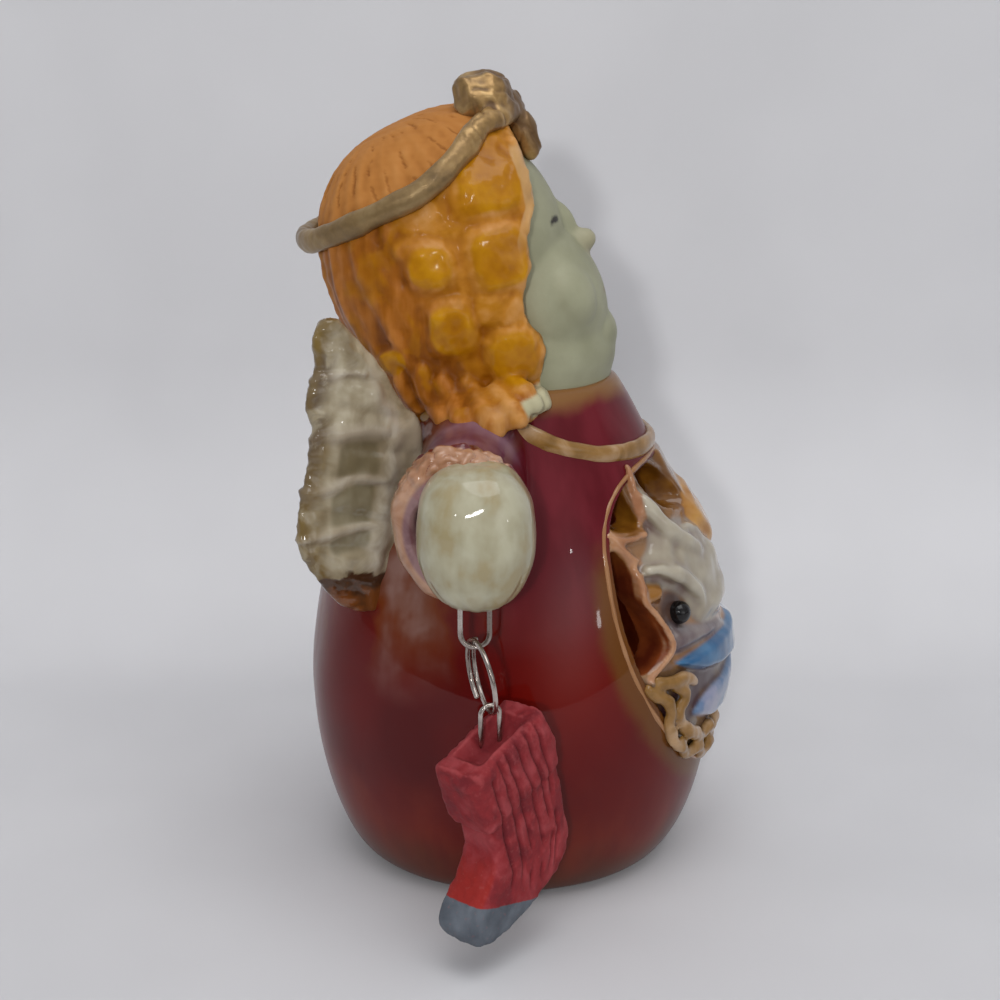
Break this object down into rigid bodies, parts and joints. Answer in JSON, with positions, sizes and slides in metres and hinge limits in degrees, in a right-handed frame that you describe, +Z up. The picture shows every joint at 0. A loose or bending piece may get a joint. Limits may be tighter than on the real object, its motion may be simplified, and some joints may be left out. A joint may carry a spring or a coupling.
{
  "type": "ceramic angel figurine",
  "caption": "Hollow glazed angel with a carved, windowed belly and folded-back wings, for a tea light, with a clay stocking hung from a hand.",
  "frame": {"origin": "on the surface it stands on, under the middle of its bounding box", "axes": "+Z up; the angel faces -Y and its right hand, with the stocking, points to -X"},
  "size_m": [0.1215, 0.0828, 0.1504],
  "materials": {
    "glaze": "glossy red glaze with cream, amber and gold areas",
    "wire": "bright drawn wire",
    "clay": "matte painted clay"
  },
  "bodies": {
    "root": {"figure": "glaze", "hand_loop": "wire", "jump_ring": "wire", "stocking_eyelet": "wire", "stocking": "clay"}
  },
  "joints": []
}
